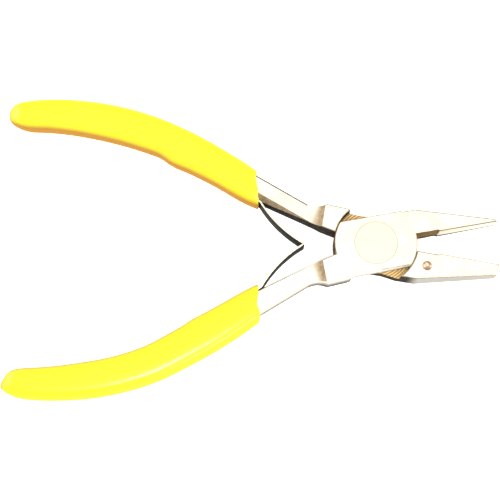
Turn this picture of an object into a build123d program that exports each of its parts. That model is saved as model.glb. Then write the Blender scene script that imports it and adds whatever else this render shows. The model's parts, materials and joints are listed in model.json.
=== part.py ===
"""Flat nose pliers: two crossed levers on a flush rivet, dipped grips and a double leaf spring.

+Z is the pivot axis and +X runs to the jaw tips along the bisector of the half-open levers.
The origin is on the pivot axis, in the plane that the pliers lie on.
Each lever is drawn closed, with its gripping face on y = 0 and its mid plane on z = 0,
and both levers are the same forging, one of them turned over.
"""

import os
from math import cos, radians, sin

from build123d import *

# Driving dimensions, in mm and degrees
THICKNESS = 7.5  # through the lap joint
HALF_OPENING = 10.0  # each lever's turn from closed, with the springs relaxed
LAP_GAP = 0.04  # between the two lap faces
LAP_RADIUS = 10.4
LAP_CLEARANCE = 0.12  # round the rim of a lap
LAP_FLAT_JAW_SIDE = 6.9  # from the pivot to the lap's straight edges
LAP_FLAT_HANDLE_SIDE = 7.1

JAW_END = 31.4
JAW_SHOULDER = 11.4  # where the jaw starts to taper
JAW_TIP_THICKNESS = 5.0
PAD_START = 16.6
PAD_GAP = 0.03  # from the closing plane to each pad
PAD_RELIEF = 0.35
DIMPLE_X, DIMPLE_Y, DIMPLE_RADIUS = 13.5, 3.7, 1.6
DIMPLE_LIFT = 1.05  # height of the dimple's sphere centre above the jaw

SHANK_THICKNESS = 5.7
SHANK_STEP_X = -17.5
SHANK_STEP_RADIUS = 3.5
OUTER_BEVEL = 0.4
INNER_BEVELS = {1: 0.4, -1: 2.1}  # at the grip: on the face with the lap, and on the other
MOUTH_X = -31.0  # where the grip ends and the bare shank begins
EDGE_BREAK = 0.3

RIVET_HEAD_RADIUS = 5.4
RIVET_HEAD_DEPTH = 1.5
RIVET_SHANK_RADIUS = 3.0
RIVET_TAIL_RADIUS = 4.2
RIVET_TAIL_DEPTH = 1.2
RUNNING_CLEARANCE = 0.05

LEAF_WIDTH = 6.3
LEAF_THICKNESS = 0.5
LEAF_BULGE = 0.95
LEAF_TIP_X = -18.5
LEAF_TIP_GAP = 0.34
FOOT_THICKNESS = 0.6
FOOT_START = 0.5  # past the start of the shank's straight inner face
LEAF_HINGE = 0.95  # the free leaf's root, past the same point
FOOT_LENGTH = 18.0
FOOT_RIVET_RADIUS = 1.25
FOOT_RIVET_HEAD_RADIUS = 2.1
FOOT_RIVET_HEAD_HEIGHT = 0.6
FOOT_RIVET_DEPTH = 3.2
FOOT_RIVET_AT = 11.0  # from the mouth end of the foot

GRIP_EDGE_RADIUS = 3.2

# The shank's inner face is straight from the joint to beyond the foot of the leaf spring
INNER_FACE_START = (-31.5, -6.5)
INNER_FACE_END = (-52.0, -13.3)

inner_run = Vector(*INNER_FACE_START) - Vector(*INNER_FACE_END)
INNER_DIRECTION = inner_run.normalized()
INNER_NORMAL = Vector(-INNER_DIRECTION.Y, INNER_DIRECTION.X)

OUTER_DIRECTION = Vector(-13.6, -5.2).normalized()  # of the shank's outer edge, towards the grip
OUTER_NORMAL = Vector(-OUTER_DIRECTION.Y, OUTER_DIRECTION.X)

# The levers' own planes at rest: the back lever is the same forging turned over
front_frame = Plane(
    (0, 0, THICKNESS / 2),
    x_dir=(cos(radians(HALF_OPENING)), sin(radians(HALF_OPENING)), 0),
    z_dir=(0, 0, 1),
)
back_frame = Plane(
    (0, 0, THICKNESS / 2),
    x_dir=(cos(radians(HALF_OPENING)), -sin(radians(HALF_OPENING)), 0),
    z_dir=(0, 0, -1),
)


def forge_lever(jaw_root_depth, jaw_tip_depth):
    """A whole lever: tang, shank, shoulder, half-thickness lap and jaw."""
    half = THICKNESS / 2
    with BuildPart() as lever:
        with BuildSketch():
            Circle(LAP_RADIUS)
            with Locations((0, (LAP_FLAT_JAW_SIDE - LAP_FLAT_HANDLE_SIDE) / 2)):
                Rectangle(
                    3 * LAP_RADIUS,
                    LAP_FLAT_JAW_SIDE + LAP_FLAT_HANDLE_SIDE,
                    mode=Mode.INTERSECT,
                )
            with BuildLine():
                Polyline(
                    (0, PAD_RELIEF),
                    (PAD_START - 0.7, PAD_RELIEF),
                    (PAD_START, PAD_GAP),
                    (JAW_END, PAD_GAP),
                    (JAW_END - 0.2, jaw_tip_depth),
                    (JAW_SHOULDER, jaw_root_depth),
                    (JAW_SHOULDER - 4.8, jaw_root_depth),
                    (3.0, LAP_FLAT_JAW_SIDE),
                    (0, LAP_FLAT_JAW_SIDE),
                    close=True,
                )
            make_face()
            with BuildLine():
                inner = Polyline(INNER_FACE_END, INNER_FACE_START, (-14.9, -2.0), (-9.4, -0.8))
                lap_side = Polyline(
                    inner @ 1, (0, -0.8), (0, -LAP_FLAT_HANDLE_SIDE), (-6.4, -LAP_FLAT_HANDLE_SIDE),
                    (-8.6, -7.55), (-13.6, -7.8),
                )
                shoulder = ThreePointArc(lap_side @ 1, (-16.2, -6.95), (-18.4, -7.1))
                outer = Line(shoulder @ 1, (-32.0, -12.3))
                tang_outer = ThreePointArc(outer @ 1, (-62.0, -22.9), (-92.5, -21.75))
                tang_end = Line(tang_outer @ 1, (-92.5, -16.1))
                ThreePointArc(tang_end @ 1, (-72.0, -17.0), INNER_FACE_END)
            make_face()
        extrude(amount=half, both=True)

        # The other lever's lap turns in the lower half of the disc
        with BuildSketch(Plane.XY.offset(LAP_GAP / 2)):
            Circle(LAP_RADIUS + LAP_CLEARANCE)
        extrude(amount=-THICKNESS, mode=Mode.SUBTRACT)

        # The shank is thinner than the joint, with a hollow step on both faces
        step = (half - SHANK_THICKNESS / 2, SHANK_STEP_RADIUS)
        for side in (1, -1):
            with BuildSketch(Plane.XZ):
                with BuildLine():
                    start = (SHANK_STEP_X, side * SHANK_THICKNESS / 2)
                    rise = ThreePointArc(
                        start,
                        (start[0] + 0.75 * step[1], side * (half - 0.62 * step[0])),
                        (start[0] + step[1], side * (half + 0.02)),
                    )
                    Polyline(rise @ 1, (start[0], side * 2 * half), (-110, side * 2 * half),
                             (-110, start[1]), start)
                make_face()
            extrude(amount=60, both=True, mode=Mode.SUBTRACT)

        # Both faces of the jaw taper to the tip
        for side in (1, -1):
            with BuildSketch(Plane.XZ):
                with BuildLine():
                    Polyline(
                        (JAW_SHOULDER, side * half),
                        (JAW_END + 1, side * JAW_TIP_THICKNESS / 2),
                        (JAW_END + 1, side * half),
                        close=True,
                    )
                make_face()
            extrude(amount=20, both=True, mode=Mode.SUBTRACT)

        # A ground bevel on the inner edges of the shank fades out towards the joint
        for side in (1, -1):
            for x, width in ((-36.0, INNER_BEVELS[side]), (-17.5, 0.1)):
                edge_y = -6.5 + (x + 31.5) * (4.5 / 16.6)
                top = side * SHANK_THICKNESS / 2
                with BuildSketch(Plane((x, edge_y, top), x_dir=(0, 1, 0), z_dir=(1, 0, 0))):
                    with BuildLine():
                        Polyline((0.4, side * 0.3), (-width, side * 0.3), (-width, 0),
                                 (0, -side * width), (0.4, -side * width), close=True)
                    make_face()
            loft(mode=Mode.SUBTRACT)

            # and a narrow one runs along the outer edges
            with BuildSketch(Plane((-18.4, -7.1, top), x_dir=OUTER_NORMAL, z_dir=OUTER_DIRECTION)):
                with BuildLine():
                    Polyline((0.2, side * 0.2), (-OUTER_BEVEL, side * 0.2), (-OUTER_BEVEL, 0),
                             (0, -side * OUTER_BEVEL), (0.2, -side * OUTER_BEVEL), close=True)
                make_face()
            extrude(amount=15.0, mode=Mode.SUBTRACT)

        # The edges of the ground faces are broken all round, but not the crease across the jaw
        ground_faces = lever.faces().filter_by(
            lambda face: face.geom_type == GeomType.PLANE
            and abs(face.normal_at().Z) > 0.99
            and abs(face.center().Z) > 2.9
        )
        outline = ground_faces.edges().filter_by(
            lambda edge: abs(edge.center().X - JAW_SHOULDER) > 0.1 or edge.length < 5
        )
        fillet(outline, EDGE_BREAK)
    return lever.part


# The foot of each leaf lies on the shank's inner face, under the grip, and is riveted to it
mouth_on_face = Vector(*INNER_FACE_START) + INNER_DIRECTION * FOOT_START
foot_plane = Plane(
    (mouth_on_face.X, mouth_on_face.Y, 0),
    x_dir=(-INNER_DIRECTION.X, -INNER_DIRECTION.Y, 0),
    z_dir=(INNER_NORMAL.X, INNER_NORMAL.Y, 0),
)


def leaf_foot():
    """The straight end of a leaf spring, with its rivet hole."""
    with BuildPart() as foot:
        with BuildSketch(foot_plane):
            with Locations((FOOT_LENGTH / 2, 0)):
                Rectangle(FOOT_LENGTH, LEAF_WIDTH)
            with Locations((FOOT_RIVET_AT, 0)):
                Circle(FOOT_RIVET_RADIUS, mode=Mode.SUBTRACT)
        extrude(amount=FOOT_THICKNESS)
    return foot.part


def foot_rivet():
    """The small rivet that holds a leaf to its shank."""
    with BuildPart() as rivet:
        with BuildSketch(foot_plane.offset(-FOOT_RIVET_DEPTH)):
            with Locations((FOOT_RIVET_AT, 0)):
                Circle(FOOT_RIVET_RADIUS)
        extrude(amount=FOOT_RIVET_DEPTH + FOOT_THICKNESS)
        with BuildSketch(foot_plane.offset(FOOT_THICKNESS)):
            with Locations((FOOT_RIVET_AT, 0)):
                Circle(FOOT_RIVET_HEAD_RADIUS)
        extrude(amount=FOOT_RIVET_HEAD_HEIGHT, taper=20)
    return rivet.part


foot_blank = leaf_foot()
rivet_blank = foot_rivet()

# Front lever: lower handle and upper jaw, with the lap that shows from above
with BuildPart(front_frame) as front_lever:
    add(forge_lever(jaw_root_depth=6.6, jaw_tip_depth=0.75))
    add(rivet_blank, mode=Mode.SUBTRACT)
    with Locations((0, 0, THICKNESS / 2)):
        CounterBoreHole(
            RIVET_SHANK_RADIUS + RUNNING_CLEARANCE,
            RIVET_HEAD_RADIUS + RUNNING_CLEARANCE,
            RIVET_HEAD_DEPTH + RUNNING_CLEARANCE,
        )

# Back lever: upper handle and lower jaw, with a shallow dimple in the jaw's shown face
with BuildPart(back_frame) as back_lever:
    add(forge_lever(jaw_root_depth=7.45, jaw_tip_depth=2.95))
    add(rivet_blank, mode=Mode.SUBTRACT)
    with Locations((0, 0, THICKNESS / 2)):
        CounterSinkHole(RIVET_SHANK_RADIUS, RIVET_TAIL_RADIUS, counter_sink_angle=90)
    with Locations((DIMPLE_X, DIMPLE_Y, -THICKNESS / 2 - DIMPLE_LIFT + 0.12)):
        Sphere(DIMPLE_RADIUS, mode=Mode.SUBTRACT)

# Pivot rivet: flush head above, shank through both laps, tail spread into the back lap
with BuildPart() as pivot_rivet:
    with BuildSketch(Plane.XZ):
        with BuildLine():
            Polyline(
                (0, 0),
                (RIVET_TAIL_RADIUS, 0),
                (RIVET_SHANK_RADIUS, RIVET_TAIL_RADIUS - RIVET_SHANK_RADIUS),
                (RIVET_SHANK_RADIUS, THICKNESS - RIVET_HEAD_DEPTH),
                (RIVET_HEAD_RADIUS, THICKNESS - RIVET_HEAD_DEPTH),
                (RIVET_HEAD_RADIUS, THICKNESS),
                (0, THICKNESS),
                close=True,
            )
        make_face()
    revolve(axis=Axis.Z)


def grip(lever_blank, foot, rivet):
    """A dipped grip: a rounded sleeve round the tang, the leaf's foot and its rivet."""
    with BuildPart() as sleeve:
        with BuildSketch():
            with BuildLine():
                mouth = Line((MOUTH_X, -4.6), (-32.8, -14.25))
                outer = ThreePointArc(mouth @ 1, (-62.0, -24.3), (-88.0, -24.05))
                inner = ThreePointArc((-92.0, -14.8), (-74.0, -15.8), (-56.0, -13.0))
                Spline(outer @ 1, (-94.2, -22.55), (-97.1, -20.8), (-98.2, -18.5), (-97.2, -16.5),
                       (-95.0, -15.2), inner @ 0, tangents=(outer % 1, inner % 0))
                Spline(inner @ 1, (-51.5, -10.95), (-46.0, -9.4), (-38.5, -6.9), mouth @ 0,
                       tangents=(inner % 1, (1, 0.28)))
            make_face()
        extrude(amount=THICKNESS / 2, both=True)
        long_edges = sleeve.edges().filter_by(
            lambda edge: abs(abs(edge.center().Z) - THICKNESS / 2) < 0.01
        ).filter_by(lambda edge: edge.center().X < MOUTH_X - 2)
        fillet(long_edges, GRIP_EDGE_RADIUS)
        add(lever_blank, mode=Mode.SUBTRACT)
        add(foot, mode=Mode.SUBTRACT)
        add(rivet, mode=Mode.SUBTRACT)
    return sleeve.part


plain_blank = forge_lever(jaw_root_depth=6.6, jaw_tip_depth=0.75)
grip_blank = grip(plain_blank, foot_blank, rivet_blank)

with BuildPart(front_frame) as front_leaf_foot:
    add(foot_blank)
with BuildPart(back_frame) as back_leaf_foot:
    add(foot_blank)
with BuildPart(front_frame) as front_spring_rivet:
    add(rivet_blank)
with BuildPart(back_frame) as back_spring_rivet:
    add(rivet_blank)
with BuildPart(front_frame) as front_grip:
    add(grip_blank)
with BuildPart(back_frame) as back_grip:
    add(grip_blank)

# Free leaves: each bows from its root at the mouth of a grip to the bisector, where they meet
root_in_lever = Vector(*INNER_FACE_START) + INNER_DIRECTION * LEAF_HINGE + INNER_NORMAL * 0.32
root_on_plan = front_frame.from_local_coords(Vector(root_in_lever.X, root_in_lever.Y, 0))
tip_y = (LEAF_THICKNESS + LEAF_TIP_GAP) / 2


def free_leaf(side, lip):
    """The bowed part of a leaf spring: side is 1 above the bisector and -1 below it."""
    root = (root_on_plan.X, -side * root_on_plan.Y)
    tip = (LEAF_TIP_X, side * tip_y)
    with BuildPart() as leaf:
        with BuildSketch(Plane.XY.offset((THICKNESS - LEAF_WIDTH) / 2)):
            with BuildLine():
                bow = SagittaArc(root, tip, -side * LEAF_BULGE)
                if lip:
                    Polyline(bow @ 1, (LEAF_TIP_X + 0.75, side * 0.1), (LEAF_TIP_X + 1.0, -side * 0.55))
            trace(line_width=LEAF_THICKNESS)
            with Locations(root):
                Circle(LEAF_THICKNESS / 2)
        extrude(amount=LEAF_WIDTH)
    return leaf.part


with BuildPart() as back_leaf_spring:
    add(free_leaf(side=1, lip=True))
with BuildPart() as front_leaf_spring:
    add(free_leaf(side=-1, lip=False))

NODES = {
    "front_lever": front_lever,
    "back_lever": back_lever,
    "pivot_rivet": pivot_rivet,
    "front_grip": front_grip,
    "back_grip": back_grip,
    "front_leaf_spring": front_leaf_spring,
    "back_leaf_spring": back_leaf_spring,
    "front_leaf_foot": front_leaf_foot,
    "back_leaf_foot": back_leaf_foot,
    "front_spring_rivet": front_spring_rivet,
    "back_spring_rivet": back_spring_rivet,
}
os.makedirs("parts", exist_ok=True)
for name, builder in NODES.items():
    builder.part.label = name
    export_step(builder.part, f"parts/{name}.step")
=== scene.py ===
import json
from math import cos, pi, radians, sin

import bpy
from mathutils import Matrix, Vector


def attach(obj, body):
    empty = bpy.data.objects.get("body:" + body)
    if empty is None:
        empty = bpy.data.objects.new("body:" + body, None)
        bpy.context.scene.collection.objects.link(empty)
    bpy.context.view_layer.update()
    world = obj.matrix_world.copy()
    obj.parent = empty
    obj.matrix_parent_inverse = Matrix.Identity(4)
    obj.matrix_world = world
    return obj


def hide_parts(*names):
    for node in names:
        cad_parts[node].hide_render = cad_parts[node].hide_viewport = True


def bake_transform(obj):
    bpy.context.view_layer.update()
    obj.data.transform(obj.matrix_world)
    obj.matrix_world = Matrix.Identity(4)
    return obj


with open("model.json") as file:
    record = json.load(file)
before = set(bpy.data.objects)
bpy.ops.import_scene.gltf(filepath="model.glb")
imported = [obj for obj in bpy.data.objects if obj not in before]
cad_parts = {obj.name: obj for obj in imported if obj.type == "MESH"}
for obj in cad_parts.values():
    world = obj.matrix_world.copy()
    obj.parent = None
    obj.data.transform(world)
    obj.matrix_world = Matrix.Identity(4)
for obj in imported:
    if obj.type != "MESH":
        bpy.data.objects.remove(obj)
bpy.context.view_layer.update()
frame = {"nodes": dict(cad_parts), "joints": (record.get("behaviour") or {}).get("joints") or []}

# Camera. It stands over the lower handle and looks down at the bench, tilted a little
# towards the jaws, so that the walls that face the user show as thin strips.
bpy.ops.object.camera_add(
    location=(-0.0332, -0.0648, 0.3075),
    rotation=(radians(11.88), radians(-0.21), radians(-0.45)),
)
camera = bpy.context.object
camera.data.sensor_width = 36.0
camera.data.lens = 88.3
bpy.context.scene.camera = camera


# Bench. A light table of opal white acrylic that the tool lies on: its even glow takes the
# shadows away. The sheet is cast, with a very fine satin tooth of about 0.5 mm.
def linear(hex_colour):
    """An sRGB hex colour as the linear colour that a shader socket takes."""
    channels = (int(hex_colour[i : i + 2], 16) / 255 for i in (1, 3, 5))
    return (*(c / 12.92 if c <= 0.04045 else ((c + 0.055) / 1.055) ** 2.4 for c in channels), 1)


def add_node(material, kind, settings=(), links=()):
    """Adds a node to a material: settings are attributes or input values, links are sources."""
    node = material.node_tree.nodes.new(kind)
    for name, value in dict(settings).items():
        if isinstance(name, str) and hasattr(node, name):
            setattr(node, name, value)
        else:
            node.inputs[name].default_value = value
    for name, source in dict(links).items():
        material.node_tree.links.new(source, node.inputs[name])
    return node


def new_material(name, settings):
    """A material with its principled shader set up; returns the material and the shader."""
    material = bpy.data.materials.new(name)
    material.use_nodes = True
    shader = material.node_tree.nodes["Principled BSDF"]
    for socket, value in settings.items():
        shader.inputs[socket].default_value = value
    return material, shader


ACRYLIC_TOOTH = 0.0005
bpy.ops.object.select_all(action="DESELECT")
bpy.ops.mesh.primitive_plane_add(size=3.0, location=(-0.03, 0.0, -0.0001))
bench = bpy.context.object
bench.name = "bench"
acrylic, acrylic_shader = new_material(
    "cast opal acrylic",
    {
        "Base Color": linear("#F2F2F0"),
        "Roughness": 0.9,
        "Emission Color": linear("#FFFFFF"),
        "Emission Strength": 0.62,
    },
)
acrylic_place = add_node(acrylic, "ShaderNodeTexCoord")
acrylic_tooth = add_node(
    acrylic,
    "ShaderNodeTexNoise",
    {"Scale": 1 / ACRYLIC_TOOTH, "Detail": 3.0},
    {"Vector": acrylic_place.outputs["Object"]},
)
acrylic_bump = add_node(
    acrylic,
    "ShaderNodeBump",
    {"Strength": 0.15, "Distance": 0.00002},
    {"Height": acrylic_tooth.outputs["Fac"]},
)
acrylic.node_tree.links.new(acrylic_bump.outputs["Normal"], acrylic_shader.inputs["Normal"])
bench.data.materials.append(acrylic)


# Studio light. One wide diffuser hangs over the bench, and two smaller and brighter ones
# stand to its sides, low enough that flat steel doesn't mirror them towards the camera.
def softbox(name, place, aim, width, depth, radiance):
    """A rectangular diffuser of a stated brightness, turned towards a point."""
    bpy.ops.object.light_add(type="AREA", location=place)
    lamp = bpy.context.object
    lamp.name = name
    lamp.data.shape = "RECTANGLE"
    lamp.data.size, lamp.data.size_y = width, depth
    lamp.data.energy = radiance * pi * width * depth
    lamp.rotation_euler = (Vector(aim) - Vector(place)).to_track_quat("-Z", "Y").to_euler()
    return lamp


softbox("overhead_diffuser", (0.0, 0.12, 0.8), (-0.02, 0.0, 0.0), 1.0, 0.9, 0.5)
softbox("right_diffuser", (0.85, 0.1, 0.55), (-0.03, 0.0, 0.0), 0.6, 0.6, 4.5)
softbox("near_diffuser", (0.4, -0.62, 0.75), (-0.05, -0.03, 0.0), 0.2, 0.2, 22.0)
softbox("spot_diffuser", (0.0, -0.2, 0.85), (-0.05, -0.03, 0.0), 0.13, 0.13, 45.0)
softbox("left_diffuser", (-0.85, 0.3, 0.5), (-0.03, 0.0, 0.0), 0.6, 0.5, 4.5)
studio = bpy.data.worlds.new("studio_fill")
bpy.context.scene.world = studio
studio.use_nodes = True
studio.node_tree.nodes["Background"].inputs["Color"].default_value = linear("#FBF7EE")
studio.node_tree.nodes["Background"].inputs["Strength"].default_value = 0.5
bpy.context.scene.view_settings.view_transform = "Standard"


# Levers. Two drop-forged carbon steel levers, the same forging turned over: the flats are
# ground, the walls keep dark forging scale, and the laps are face-milled round the pivot.
HALF_OPENING = radians(10.0)
PAD_START = 0.0164  # along the closed lever, where the jaw's ground pad begins
SHOULDER_CREST = -0.0141  # along the closed lever, where the shank's hollow ends
DIMPLE_PLACE = (0.0135, -0.0037)  # in the lower jaw's shown face
GRIPPING_FACE = 0.0005  # how near to the closing plane the gripping face lies
LAP_HEIGHT = 0.00375  # the plane where the two laps meet
MILLING_PITCH = 0.00062
GRINDING_PITCH = 0.00012


def lever_steel(name, turn, outer_bevel_painted_light):
    """Ground and forged steel for a lever turned from closed, with the tone painted on its outer bevels for
    light and shade.
    """
    steel, shader = new_material(name, {"Specular IOR Level": 0.06})
    tree = steel.node_tree
    place = add_node(steel, "ShaderNodeTexCoord")
    closed = add_node(
        steel,
        "ShaderNodeMapping",
        {"Rotation": (0.0, 0.0, -turn)},
        {"Vector": place.outputs["Object"]},
    )
    where = add_node(steel, "ShaderNodeSeparateXYZ", {}, {"Vector": closed.outputs["Vector"]})
    facing = add_node(steel, "ShaderNodeSeparateXYZ", {}, {"Vector": place.outputs["Normal"]})

    def math(operation, a, b=0.0, clamp=False):
        """A sum on two values, each a number or a node's output."""
        sources = {i: v for i, v in enumerate((a, b)) if not isinstance(v, float)}
        numbers = {i: v for i, v in enumerate((a, b)) if isinstance(v, float)}
        node = add_node(
            steel, "ShaderNodeMath", {"operation": operation, "use_clamp": clamp, **numbers}, sources
        )
        return node.outputs["Value"]

    def below(value, limit):
        """1 where a value is less than a limit."""
        return math("LESS_THAN", value, limit)

    def between(value, low, high):
        """Rises smoothly from 0 to 1 as a value goes from low to high."""
        node = add_node(
            steel,
            "ShaderNodeMapRange",
            {"interpolation_type": "SMOOTHSTEP", "From Min": low, "From Max": high},
            {"Value": value},
        )
        return node.outputs["Result"]

    def laid_over(mask, under, over):
        """One colour over another where a mask is 1; a colour is hex or a node's output."""
        settings = {"data_type": "RGBA"}
        links = {0: mask}
        for socket, colour in ((6, under), (7, over)):
            if isinstance(colour, str):
                settings[socket] = linear(colour)
            else:
                links[socket] = colour
        return add_node(steel, "ShaderNodeMix", settings, links).outputs[2]

    def cloudy(size, detail, low, high):
        """A colour that drifts between two hex colours over a real size in metres."""
        noise = add_node(
            steel,
            "ShaderNodeTexNoise",
            {"Scale": 1 / size, "Detail": detail, "Roughness": 0.6},
            {"Vector": closed.outputs["Vector"]},
        )
        return laid_over(between(noise.outputs["Fac"], 0.32, 0.68), low, high), noise.outputs["Fac"]

    flatness = math("ABSOLUTE", facing.outputs["Z"])
    edge_on = between(flatness, 0.2, 0.62)  # 0 on the walls, 1 on bevels and flats
    slope = math("SQRT", math("SUBTRACT", 1.0, math("MULTIPLY", flatness, flatness)))
    ground = add_node(  # 1 on the ground flats, down to 0 as a hollow steepens
        steel, "ShaderNodeMapRange", {"From Min": 0.44, "From Max": 0.075}, {"Value": slope}
    ).outputs["Result"]

    # Walls: dark scale by the handles, ground grey past the joint, a cream pad on the jaw
    scale, scale_grain = cloudy(0.0014, 6.0, "#1C1815", "#3E362E")
    jaw_wall, _ = cloudy(0.0006, 3.0, "#908D86", "#9E9A92")
    outward = math("MULTIPLY", math("SIGN", -turn), facing.outputs["Y"])
    # Painted light and shade: the outer walls by the handles are painted pale at the top, darkening to
    # grey-brown towards the bottom
    outer_wall_painted_light = laid_over(between(where.outputs["Z"], 0.0010, 0.0036), "#3E3A34", "#9A958C")
    outer_wall_painted_light = laid_over(between(where.outputs["Z"], 0.0032, 0.0066), outer_wall_painted_light, "#EFE9DC")
    is_outer = between(outward, 0.1, 0.4)
    wall = laid_over(is_outer, scale, outer_wall_painted_light)
    past_joint = between(where.outputs["X"], 0.009, 0.012)
    wall = laid_over(past_joint, wall, jaw_wall)
    on_grip = math(
        "MULTIPLY",
        math("LESS_THAN", math("ABSOLUTE", where.outputs["Y"]), GRIPPING_FACE),
        math("GREATER_THAN", where.outputs["X"], 0.0095),
    )
    pad = laid_over(math("GREATER_THAN", where.outputs["X"], PAD_START), "#86693F", "#F6F0DE")
    # Painted shade: the pad is painted near-black along its lowest two millimetres
    pad = laid_over(between(where.outputs["Z"], 0.0024, 0.0019), pad, "#2E2822")
    wall = laid_over(on_grip, wall, pad)

    # Bevels and hollows: straw-brown where the grinder left the scale's last colour
    bevel, _ = cloudy(0.0011, 5.0, "#9A8468", "#C2AC8C")
    # Painted light and shade: the outer bevels by the handles take the lever's painted tone, pale on the
    # front lever and dark brown on the back one
    bevel = laid_over(math("MULTIPLY", is_outer, below(where.outputs["X"], 0.0)), bevel, outer_bevel_painted_light)
    shown_grip = math("MULTIPLY", on_grip, below(facing.outputs["Y"], 0.0))
    bevel = laid_over(shown_grip, bevel, "#7A6038")

    # Flats: ground satin, a warm white; laps: milled, with a straw oxide in the rings
    flat, _ = cloudy(0.006, 2.0, "#EDE8D6", "#F8F5E6")
    radius = add_node(
        steel, "ShaderNodeVectorMath", {"operation": "LENGTH"},
        {0: add_node(
            steel, "ShaderNodeCombineXYZ", {},
            {"X": where.outputs["X"], "Y": where.outputs["Y"]},
        ).outputs["Vector"]},
    ).outputs["Value"]
    ring = math("SINE", math("MULTIPLY", radius, 2 * pi / MILLING_PITCH))
    milled = laid_over(between(ring, -0.9, 0.9), "#A8824E", "#E8C88E")
    on_lap = between(
        math("ABSOLUTE", math("SUBTRACT", where.outputs["Z"], LAP_HEIGHT)), 0.0006, 0.0003
    )
    flat = laid_over(on_lap, flat, milled)

    # Painted shade: the hollow at the shoulder is painted a tan tone, which spreads further on its inner
    # side
    across = math("MULTIPLY", math("ABSOLUTE", where.outputs["Y"]), 0.5)
    hollow_painted_shade = math(
        "MULTIPLY",
        between(math("SUBTRACT", where.outputs["X"], across), -0.0198, -0.0168),
        below(where.outputs["X"], SHOULDER_CREST),
    )
    flat = laid_over(math("MULTIPLY", hollow_painted_shade, 0.8), flat, "#C6B08E")
    colour = laid_over(ground, laid_over(edge_on, wall, bevel), flat)
    from_dimple = add_node(
        steel, "ShaderNodeVectorMath", {"operation": "DISTANCE", 1: (*DIMPLE_PLACE, 0.0)},
        {0: add_node(
            steel, "ShaderNodeCombineXYZ", {},
            {"X": where.outputs["X"], "Y": where.outputs["Y"]},
        ).outputs["Vector"]},
    ).outputs["Value"]
    in_dimple = math(
        "MULTIPLY", between(from_dimple, 0.00125, 0.00105), math("GREATER_THAN", facing.outputs["Z"], 0.2)
    )
    colour = laid_over(in_dimple, colour, "#CBAE92")
    tree.links.new(colour, shader.inputs["Base Color"])

    # Only bare metal is metallic: scale is a matt oxide
    ground_wall = math("MULTIPLY", past_joint, math("SUBTRACT", 1.0, on_grip))
    half_bare = math("MULTIPLY", edge_on, 0.3)
    bare = math(
        "MULTIPLY", math("MAXIMUM", half_bare, math("MAXIMUM", ground, ground_wall)), 0.88, clamp=True
    )
    tree.links.new(bare, shader.inputs["Metallic"])
    smudge = add_node(
        steel, "ShaderNodeTexNoise", {"Scale": 1 / 0.004, "Detail": 4.0},
        {"Vector": closed.outputs["Vector"]},
    )
    roughness = add_node(
        steel, "ShaderNodeMapRange", {"To Min": 0.3, "To Max": 0.42},
        {"Value": smudge.outputs["Fac"]},
    )
    tree.links.new(
        math("ADD", roughness.outputs["Result"], math("MULTIPLY", math("SUBTRACT", 1.0, bare), 0.35)),
        shader.inputs["Roughness"],
    )

    # Relief: grinding lines across the flats, scale on the walls, rings on the laps
    strokes = add_node(
        steel,
        "ShaderNodeMapping",
        {"Scale": (1 / GRINDING_PITCH, 1 / (30 * GRINDING_PITCH), 1 / GRINDING_PITCH)},
        {"Vector": closed.outputs["Vector"]},
    )
    stroke_noise = add_node(
        steel, "ShaderNodeTexNoise", {"Scale": 1.0, "Detail": 2.0}, {"Vector": strokes.outputs["Vector"]}
    )
    height = math(
        "ADD",
        math("MULTIPLY", math("MULTIPLY", stroke_noise.outputs["Fac"], ground), 0.12),
        math("MULTIPLY", math("MULTIPLY", scale_grain, math("SUBTRACT", 1.0, bare)), 1.0),
    )
    height = math("ADD", height, math("MULTIPLY", math("MULTIPLY", ring, on_lap), 0.25))
    relief = add_node(
        steel, "ShaderNodeBump", {"Strength": 0.6, "Distance": 0.00006}, {"Height": height}
    )
    tree.links.new(relief.outputs["Normal"], shader.inputs["Normal"])
    return steel


def refinish(node_name, material):
    """Gives a CAD part its material."""
    part = frame["nodes"][node_name]
    part.data.materials.clear()
    part.data.materials.append(material)


# Painted light and shade: the front lever's outer bevels are painted pale, the back lever's dark brown
refinish("front_lever", lever_steel("ground and scaled carbon steel, front", HALF_OPENING, "#EADFCB"))
refinish("back_lever", lever_steel("ground and scaled carbon steel, back", -HALF_OPENING, "#5E4C36"))


# Rivets. A turned carbon steel pivot rivet, driven flush and ground with the lap so that
# only a straw-coloured hairline shows, and two small ones that hold the leaf springs.
RIVET_HEAD_RADIUS = 0.0054
rivet_steel, rivet_shader = new_material(
    "turned and ground rivet steel", {"Metallic": 0.85, "Roughness": 0.36, "Specular IOR Level": 0.25}
)
rivet_place = add_node(rivet_steel, "ShaderNodeTexCoord")
rivet_plan = add_node(
    rivet_steel, "ShaderNodeMapping", {"Scale": (1.0, 1.0, 0.0)}, {"Vector": rivet_place.outputs["Object"]}
)
rivet_radius = add_node(
    rivet_steel, "ShaderNodeVectorMath", {"operation": "LENGTH"}, {0: rivet_plan.outputs["Vector"]}
)
rivet_ring = add_node(
    rivet_steel, "ShaderNodeValToRGB", {},
    {"Fac": add_node(
        rivet_steel, "ShaderNodeMath", {"operation": "DIVIDE", 1: RIVET_HEAD_RADIUS},
        {0: rivet_radius.outputs["Value"]},
    ).outputs["Value"]},
)
hairline = rivet_ring.color_ramp
hairline.elements[0].position, hairline.elements[0].color = 0.0, linear("#EDE8D6")
hairline.elements[1].position, hairline.elements[1].color = 0.955, linear("#EDE8D6")
hairline.elements.new(0.98).color = linear("#E2D5B8")
hairline.elements.new(1.0).color = linear("#E2D5B8")
rivet_steel.node_tree.links.new(rivet_ring.outputs["Color"], rivet_shader.inputs["Base Color"])
rivet_lathe = add_node(
    rivet_steel, "ShaderNodeTexWave",
    {"wave_type": "RINGS", "rings_direction": "Z", "Scale": 1 / 0.0012, "Distortion": 0.4},
    {"Vector": rivet_place.outputs["Object"]},
)
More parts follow.
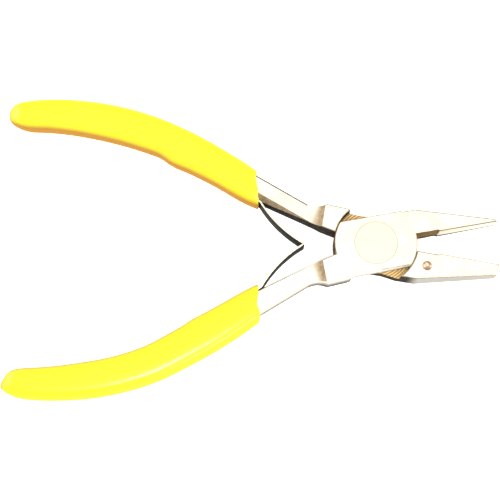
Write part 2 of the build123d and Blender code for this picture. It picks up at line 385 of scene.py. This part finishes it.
rivet_relief = add_node(
    rivet_steel, "ShaderNodeBump", {"Strength": 0.08, "Distance": 0.00003},
    {"Height": rivet_lathe.outputs["Fac"]},
)
rivet_steel.node_tree.links.new(rivet_relief.outputs["Normal"], rivet_shader.inputs["Normal"])
for node_name in ("pivot_rivet", "front_spring_rivet", "back_spring_rivet"):
    refinish(node_name, rivet_steel)


# Leaf springs. Two strips of hardened spring steel, 0.5 mm thick and left black from the
# oil: a straight foot is riveted to each shank, and the free part bows in to meet its twin.
STRIP_WIDTH = 0.0063
STRIP_THICKNESS = 0.0005
STRIP_CORNER = 0.00012
FOOT_LENGTH = 0.0172
FOOT_WIDTH = 0.0054
FLARE = 0.0022  # over which the foot widens to the free part
FOOT_SLOPE = radians(28.35)
ROOT_BEND, ROOT_BEND_RADIUS = radians(31.0), 0.0012
BOW, BOW_RADIUS = radians(28.2), 0.0301
hinges = {joint["child"]: Vector(joint["pos_m"]) for joint in frame["joints"]}

spring_steel, spring_shader = new_material(
    "oil-blacked spring steel strip", {"Specular IOR Level": 0.03, "Roughness": 0.55}
)
spring_place = add_node(spring_steel, "ShaderNodeTexCoord")
spring_facing = add_node(
    spring_steel, "ShaderNodeSeparateXYZ", {}, {"Vector": spring_place.outputs["Normal"]}
)
spring_edge = add_node(
    spring_steel, "ShaderNodeMapRange", {"From Min": 0.55, "From Max": 0.85},
    {"Value": add_node(
        spring_steel, "ShaderNodeMath", {"operation": "ABSOLUTE"}, {0: spring_facing.outputs["Z"]}
    ).outputs["Value"]},
)
spring_noise = add_node(
    spring_steel, "ShaderNodeTexNoise", {"Scale": 1 / 0.0012, "Detail": 4.0},
    {"Vector": spring_place.outputs["Object"]},
)
spring_black = add_node(
    spring_steel, "ShaderNodeMix",
    {"data_type": "RGBA", 6: linear("#040303"), 7: linear("#181412")},
    {0: spring_noise.outputs["Fac"]},
)
spring_colour = add_node(
    spring_steel, "ShaderNodeMix", {"data_type": "RGBA", 7: linear("#F2E9D8")},
    {0: spring_edge.outputs["Result"], 6: spring_black.outputs[2]},
)
for source, socket in (
    (spring_colour.outputs[2], "Base Color"),
    (spring_edge.outputs["Result"], "Metallic"),
):
    spring_steel.node_tree.links.new(source, spring_shader.inputs[socket])
spring_relief = add_node(
    spring_steel, "ShaderNodeBump", {"Strength": 0.2, "Distance": 0.00002},
    {"Height": spring_noise.outputs["Fac"]},
)
spring_steel.node_tree.links.new(spring_relief.outputs["Normal"], spring_shader.inputs["Normal"])


def choose(piece, kind, wanted):
    """In edit mode, selects the faces or edges of a piece that pass a test, and no others."""
    bpy.ops.mesh.select_mode(type="FACE" if kind == "polygons" else "EDGE")
    bpy.ops.mesh.select_all(action="DESELECT")
    bpy.ops.object.mode_set(mode="OBJECT")
    for element in getattr(piece.data, kind):
        element.select = wanted(element)
    bpy.ops.object.mode_set(mode="EDIT")


def runs_along_x(piece):
    """A test for the edges of a piece that run along X."""
    points = piece.data.vertices

    def test(edge):
        run = points[edge.vertices[1]].co - points[edge.vertices[0]].co
        return abs(run.x) > 0.9 * run.length

    return test


def finish_piece(piece, place):
    """Moves a piece to its place, which goes into its mesh."""
    bpy.ops.object.mode_set(mode="OBJECT")
    piece.matrix_world = place
    bpy.ops.object.transform_apply(location=True, rotation=True, scale=True)


def leaf_spring(name, lip):
    """A leaf from its foot to its tip, bent anticlockwise at the root, with a lip or without."""
    bpy.ops.object.select_all(action="DESELECT")
    bpy.ops.mesh.primitive_cube_add(size=1, location=(0, 0, 0))
    strip = bpy.context.object
    strip.name = name
    bpy.ops.object.mode_set(mode="EDIT")
    bpy.ops.transform.resize(value=(FOOT_LENGTH - FLARE, STRIP_THICKNESS, FOOT_WIDTH))
    bpy.ops.transform.translate(value=(-(FOOT_LENGTH + FLARE) / 2, 0, 0))
    choose(strip, "edges", runs_along_x(strip))
    bpy.ops.mesh.bevel(offset=STRIP_CORNER, segments=3, affect="EDGES")
    choose(strip, "polygons", lambda face: face.normal.x > 0.9)
    bpy.ops.mesh.extrude_region_move(TRANSFORM_OT_translate={"value": (FLARE, 0, 0)})
    bpy.ops.transform.resize(value=(1, 1, STRIP_WIDTH / FOOT_WIDTH))

    # The root is bent one way and the bow the other; the centres lie across the strip
    bpy.ops.mesh.spin(
        steps=6, angle=-ROOT_BEND, center=(0, ROOT_BEND_RADIUS, 0), axis=(0, 0, 1)
    )
    bend_end = Vector((sin(ROOT_BEND), 1 - cos(ROOT_BEND), 0)) * ROOT_BEND_RADIUS
    across = Vector((sin(ROOT_BEND), -cos(ROOT_BEND), 0))
    bow_centre = bend_end + across * BOW_RADIUS
    bpy.ops.mesh.spin(steps=20, angle=BOW, center=bow_centre, axis=(0, 0, 1))
    heading = ROOT_BEND - BOW
    if lip:
        tip = bow_centre + Vector((-sin(heading), cos(heading), 0)) * BOW_RADIUS
        lip_centre = tip + Vector((-sin(heading), cos(heading), 0)) * LIP_SIDE * LIP_RADIUS
        bpy.ops.mesh.spin(steps=8, angle=-LIP_SIDE * LIP_BEND, center=lip_centre, axis=(0, 0, 1))
    bpy.ops.mesh.select_all(action="SELECT")
    bpy.ops.mesh.remove_doubles(threshold=0.000001)
    bpy.ops.mesh.normals_make_consistent(inside=False)
    bpy.ops.object.mode_set(mode="OBJECT")
    bpy.ops.object.shade_smooth_by_angle(angle=radians(40))
    strip.data.materials.append(spring_steel)
    return strip


LIP_RADIUS, LIP_BEND, LIP_SIDE = 0.00055, radians(70.0), 1
front_leaf = leaf_spring("front_leaf", lip=False)
finish_piece(
    front_leaf,
    Matrix.Translation(hinges["front_leaf"]) @ Matrix.Rotation(FOOT_SLOPE, 4, "Z"),
)
back_leaf = leaf_spring("back_leaf", lip=True)
finish_piece(
    back_leaf,
    Matrix.Translation(hinges["back_leaf"])
    @ Matrix.Rotation(pi, 4, "X")
    @ Matrix.Rotation(FOOT_SLOPE, 4, "Z"),
)
for leaf, side in ((front_leaf, "front"), (back_leaf, "back")):
    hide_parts(side + "_leaf_foot", side + "_leaf_spring")
    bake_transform(leaf)


# Grips. Each handle is dipped hot into liquid vinyl, which gels into a seamless soft sleeve:
# flat-topped and rounded along its edges, with a swelling over the leaf spring's rivet.
ARC_CENTRE = Vector((-0.07615, 0.066, 0))  # of the handle's curve, with the lever closed
ARC_RADIUS = 0.0865
GRIP_HALF_THICKNESS = 0.00372
GRIP_EDGE = 0.0036
GRIP_SQUARENESS = 0.72  # of its rounded edges: 0.5 is round and 1 is square
# Place along the curve, the outer and the inner edge either side of it, and the thickness
# as a share of the full one: the bar from past the mouth to the dipped end, in mm
FRONT_RINGS = (
    (52.0, -4.31, 1.89, 1.0), (48.0, -4.45, 3.02, 1.0), (45.0, -4.54, 3.80, 1.0),
    (42.0, -4.60, 4.25, 1.0), (40.0, -4.60, 4.50, 1.0), (38.0, -4.57, 4.73, 1.0),
    (36.0, -4.52, 4.90, 1.0), (34.0, -4.50, 5.06, 1.0), (32.0, -4.50, 5.20, 1.0),
    (30.5, -4.50, 5.30, 1.0), (29.0, -4.49, 5.30, 1.0), (27.5, -4.49, 5.12, 1.0),
    (26.0, -4.50, 5.00, 1.0), (24.0, -4.54, 4.93, 1.0), (21.0, -4.68, 4.76, 1.0),
    (18.0, -4.88, 4.44, 1.0), (16.0, -4.96, 4.28, 1.0), (12.0, -5.00, 4.20, 1.0),
    (8.0, -4.95, 4.19, 1.0), (4.0, -4.84, 4.27, 1.0), (0.0, -4.66, 4.42, 1.0),
    (-4.0, -4.38, 4.43, 1.0), (-8.0, -4.09, 4.38, 1.0), (-12.0, -3.80, 4.30, 1.0),
    (-15.0, -3.53, 4.24, 1.0), (-17.0, -3.28, 4.12, 0.97), (-18.6, -2.92, 3.87, 0.9),
    (-20.0, -2.38, 3.36, 0.78), (-21.0, -1.78, 2.30, 0.62), (-21.7, -1.26, 0.92, 0.42),
    (-22.0, -1.00, 0.22, 0.24),
)
BACK_RINGS = (
    (52.0, -4.31, 1.89, 1.0), (48.0, -4.45, 3.02, 1.0), (45.0, -4.54, 3.80, 1.0),
    (42.0, -4.55, 4.20, 1.0), (40.0, -4.48, 4.36, 1.0), (38.0, -4.38, 4.48, 1.0),
    (35.0, -4.28, 4.72, 1.0), (32.0, -4.32, 4.90, 1.0), (29.0, -4.36, 5.06, 1.0),
    (26.5, -4.42, 5.24, 1.0), (24.5, -4.46, 5.40, 1.0), (22.5, -4.50, 5.24, 1.0),
    (21.0, -4.52, 4.86, 1.0), (19.5, -4.56, 4.54, 1.0), (18.0, -4.60, 4.52, 1.0),
    (16.0, -4.68, 4.60, 1.0), (12.0, -4.70, 4.61, 1.0), (8.0, -4.75, 4.57, 1.0),
    (4.0, -4.72, 4.50, 1.0), (0.0, -4.64, 4.41, 1.0), (-4.0, -4.50, 4.22, 1.0),
    (-8.0, -4.36, 4.06, 1.0), (-12.0, -4.16, 3.89, 1.0), (-15.0, -3.92, 3.84, 1.0),
    (-17.0, -3.68, 3.70, 0.97), (-18.8, -3.46, 3.26, 0.9), (-20.2, -3.02, 2.52, 0.78),
    (-21.2, -2.26, 1.92, 0.62), (-21.8, -1.40, 1.30, 0.42), (-22.05, -0.75, 0.80, 0.24),
)
MOUTH_X = -0.02965
RIM_REACH = 0.0019  # how far each wave of the rim spreads
FRONT_RIM_WAVE = ((-0.0154, -0.0003), (-0.0174, 0.0004), (-0.0195, 0.0002))
BACK_RIM_WAVE = ((0.0196, -0.0001), (0.0168, -0.0004), (0.0134, 0.0001), (0.0109, 0.0003))
MOUTH_WALL = 0.0009
MOUTH_DEPTH = 0.006
MOUTH_ROUND = 0.00035
MOUTH_MERGE = 0.0004  # the cut's shorter edges are merged, so that its rim rounds evenly

vinyl, vinyl_shader = new_material(
    "dip-moulded soft vinyl",
    {"Specular IOR Level": 0.4},
)
vinyl_place = add_node(vinyl, "ShaderNodeTexCoord")
vinyl_facing = add_node(
    vinyl, "ShaderNodeSeparateXYZ", {}, {"Vector": vinyl_place.outputs["Normal"]}
)
vinyl_where = add_node(
    vinyl, "ShaderNodeSeparateXYZ", {}, {"Vector": vinyl_place.outputs["Object"]}
)
vinyl_side = add_node(
    vinyl, "ShaderNodeMath", {"operation": "SIGN"}, {0: vinyl_where.outputs["Y"]}
)
vinyl_outward = add_node(
    vinyl, "ShaderNodeMath", {"operation": "MULTIPLY"},
    {0: vinyl_side.outputs["Value"], 1: vinyl_facing.outputs["Y"]},
)
# Painted shade leans by facing: inner sides and faces towards -X get more of it, faces towards +X less
vinyl_shade_shift = add_node(
    vinyl, "ShaderNodeMapRange",
    {"From Min": -0.5, "From Max": 0.5, "To Min": -0.2, "To Max": 0.4},
    {"Value": add_node(
        vinyl, "ShaderNodeMath", {"operation": "ADD"},
        {0: vinyl_outward.outputs["Value"], 1: vinyl_facing.outputs["X"]},
    ).outputs["Value"]},
)
vinyl_flatness = add_node(
    vinyl, "ShaderNodeMath", {"operation": "ABSOLUTE"}, {0: vinyl_facing.outputs["Z"]}
)
vinyl_painted_shade = add_node(
    vinyl, "ShaderNodeValToRGB", {},
    {"Fac": add_node(
        vinyl, "ShaderNodeMath", {"operation": "ADD"},
        {0: vinyl_flatness.outputs["Value"], 1: vinyl_shade_shift.outputs["Result"]},
    ).outputs["Value"]},
)
# Painted shade: the vinyl is painted deeper orange as its surface turns edge-on, more so on the handles'
# inner sides and far ends
for stop, tone in zip((0.0, 0.25, 0.62, 0.93), ("#BE8420", "#E6A81F", "#FFD428", "#FFFFFF")):
    if stop in (0.0, 0.93):
        element = vinyl_painted_shade.color_ramp.elements[0 if stop == 0.0 else 1]
        element.position = stop
    else:
        element = vinyl_painted_shade.color_ramp.elements.new(stop)
    element.color = linear(tone)
vinyl_drift = add_node(
    vinyl, "ShaderNodeTexNoise", {"Scale": 1 / 0.012, "Detail": 2.0},
    {"Vector": vinyl_place.outputs["Object"]},
)
vinyl_body = add_node(
    vinyl, "ShaderNodeMix", {"data_type": "RGBA", 6: linear("#FBF128"), 7: linear("#FFF52C")},
    {0: vinyl_drift.outputs["Fac"]},
)
vinyl_colour = add_node(
    vinyl, "ShaderNodeMix", {"data_type": "RGBA", "blend_type": "DARKEN", 0: 1.0},
    {6: vinyl_body.outputs[2], 7: vinyl_painted_shade.outputs["Color"]},
)
vinyl.node_tree.links.new(vinyl_colour.outputs[2], vinyl_shader.inputs["Base Color"])
# The top is smooth from handling, and the sides keep the dull skin that came out of the dip
vinyl_gloss = add_node(
    vinyl, "ShaderNodeMapRange", {"From Min": 0.45, "From Max": 0.95, "To Min": 0.85, "To Max": 0.22},
    {"Value": vinyl_flatness.outputs["Value"]},
)
vinyl.node_tree.links.new(vinyl_gloss.outputs["Result"], vinyl_shader.inputs["Roughness"])
vinyl_skin = add_node(
    vinyl, "ShaderNodeTexNoise", {"Scale": 1 / 0.0024, "Detail": 1.0},
    {"Vector": vinyl_place.outputs["Object"]},
)
vinyl_relief = add_node(
    vinyl, "ShaderNodeBump", {"Strength": 0.25, "Distance": 0.00012},
    {"Height": vinyl_skin.outputs["Fac"]},
)
vinyl.node_tree.links.new(vinyl_relief.outputs["Normal"], vinyl_shader.inputs["Normal"])


def apply_modifier(piece, kind, **settings):
    """Adds a modifier to a piece and applies it."""
    modifier = piece.modifiers.new(kind.lower(), kind)
    for name, value in settings.items():
        setattr(modifier, name, value)
    bpy.ops.object.modifier_apply(modifier=modifier.name)


def dipped_grip(name, rings, rim_wave, place):
    """A bar drawn ring by ring, bent to the handle's curve, put in place and opened."""
    rings = [(s / 1000, low / 1000, high / 1000, share) for s, low, high, share in rings]
    (s, low, high, _), (next_s, *_) = rings[:2]
    bpy.ops.object.select_all(action="DESELECT")
    bpy.ops.mesh.primitive_cube_add(size=1, location=(0, 0, 0))
    bar = bpy.context.object
    bar.name = name
    bpy.ops.object.mode_set(mode="EDIT")
    bpy.ops.transform.resize(value=(s - next_s, high - low, 2 * GRIP_HALF_THICKNESS))
    bpy.ops.transform.translate(value=((s + next_s) / 2, (low + high) / 2, 0))
    choose(bar, "edges", runs_along_x(bar))
    bpy.ops.mesh.bevel(offset=GRIP_EDGE, segments=8, profile=GRIP_SQUARENESS, affect="EDGES")
    choose(bar, "polygons", lambda face: face.normal.x < -0.9)
    middle, width, share = (low + high) / 2, high - low, 1.0
    for step, (s, low, high, new_share) in enumerate(rings[1:]):
        if step:
            bpy.ops.mesh.extrude_region_move(
                TRANSFORM_OT_translate={"value": (s - last_s, (low + high) / 2 - middle, 0)}
            )
        else:
            bpy.ops.transform.translate(value=(0, (low + high) / 2 - middle, 0))
        middle = (low + high) / 2
        bpy.ops.transform.resize(
            value=(1, (high - low) / width, new_share / share), center_override=(s, middle, 0)
        )
        width, share, last_s = high - low, new_share, s
    bpy.ops.mesh.poke()
    bpy.ops.object.mode_set(mode="OBJECT")
    apply_modifier(bar, "SUBSURF", levels=1, render_levels=1)
    lengths = [point.co.x for point in bar.data.vertices]
    apply_modifier(
        bar, "SIMPLE_DEFORM", deform_method="BEND", deform_axis="Z",
        angle=(max(lengths) - min(lengths)) / ARC_RADIUS,
    )
    finish_piece(
        bar, place @ Matrix.Translation(ARC_CENTRE - Vector((0, ARC_RADIUS, 0)))
    )

    # The mouth is trimmed square to the tool's length, and its rim hugs the steel
    bpy.ops.object.mode_set(mode="EDIT")
    bpy.ops.mesh.select_all(action="SELECT")
    bpy.ops.mesh.bisect(
        plane_co=(MOUTH_X, 0, 0), plane_no=(1, 0, 0), use_fill=True, clear_outer=True
    )
    # The points are put in a fixed order, since merging depends on it
    bpy.context.scene.cursor.location = (0.1, 0.05, 0.2)
    bpy.ops.mesh.select_all(action="SELECT")
    bpy.ops.mesh.sort_elements(type="CURSOR_DISTANCE", elements={"VERT", "EDGE", "FACE"})
    choose(bar, "polygons", lambda face: face.normal.x > 0.99 and abs(face.center.x - MOUTH_X) < 1e-5)
    bpy.ops.mesh.remove_doubles(threshold=MOUTH_MERGE)
    choose(bar, "polygons", lambda face: face.normal.x > 0.99 and abs(face.center.x - MOUTH_X) < 1e-5)
    bpy.ops.mesh.bevel(offset=MOUTH_ROUND, segments=3, affect="EDGES")
    choose(bar, "polygons", lambda face: face.normal.x > 0.99 and abs(face.center.x - MOUTH_X) < 1e-5)
    bpy.ops.mesh.inset(thickness=MOUTH_WALL)
    handle_side = 1 if bar.data.vertices[0].co.y > 0 else -1
    bpy.ops.mesh.extrude_region_move(
        TRANSFORM_OT_translate={"value": (-MOUTH_DEPTH, handle_side * 0.55 * MOUTH_DEPTH, 0)}
    )

    # and it isn't quite straight: the cut wanders by half a millimetre
    bpy.ops.mesh.select_mode(type="VERT")
    for rim_y, shift in rim_wave:
        bpy.ops.mesh.select_all(action="DESELECT")
        bpy.ops.object.mode_set(mode="OBJECT")
        for point in bar.data.vertices:
            point.select = (
                point.co.x > MOUTH_X - 2 * MOUTH_ROUND and abs(point.co.y - rim_y) < RIM_REACH / 3
            )
        bpy.ops.object.mode_set(mode="EDIT")
        bpy.ops.transform.translate(
            value=(shift, 0, 0), use_proportional_edit=True,
            proportional_edit_falloff="SMOOTH", proportional_size=RIM_REACH,
        )
    bpy.ops.object.mode_set(mode="OBJECT")
    bpy.ops.object.shade_smooth_by_angle(angle=radians(50))
    bar.data.materials.append(vinyl)
    return bar


to_joint_height = Matrix.Translation((0, 0, LAP_HEIGHT))
front_grip = dipped_grip(
    "front_grip_sleeve", FRONT_RINGS, FRONT_RIM_WAVE, to_joint_height @ Matrix.Rotation(HALF_OPENING, 4, "Z")
)
back_grip = dipped_grip(
    "back_grip_sleeve",
    BACK_RINGS,
    BACK_RIM_WAVE,
    to_joint_height @ Matrix.Rotation(-HALF_OPENING, 4, "Z") @ Matrix.Rotation(pi, 4, "X"),
)
for grip, side in ((front_grip, "front"), (back_grip, "back")):
    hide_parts(side + "_grip")
    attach(grip, side + "_lever")
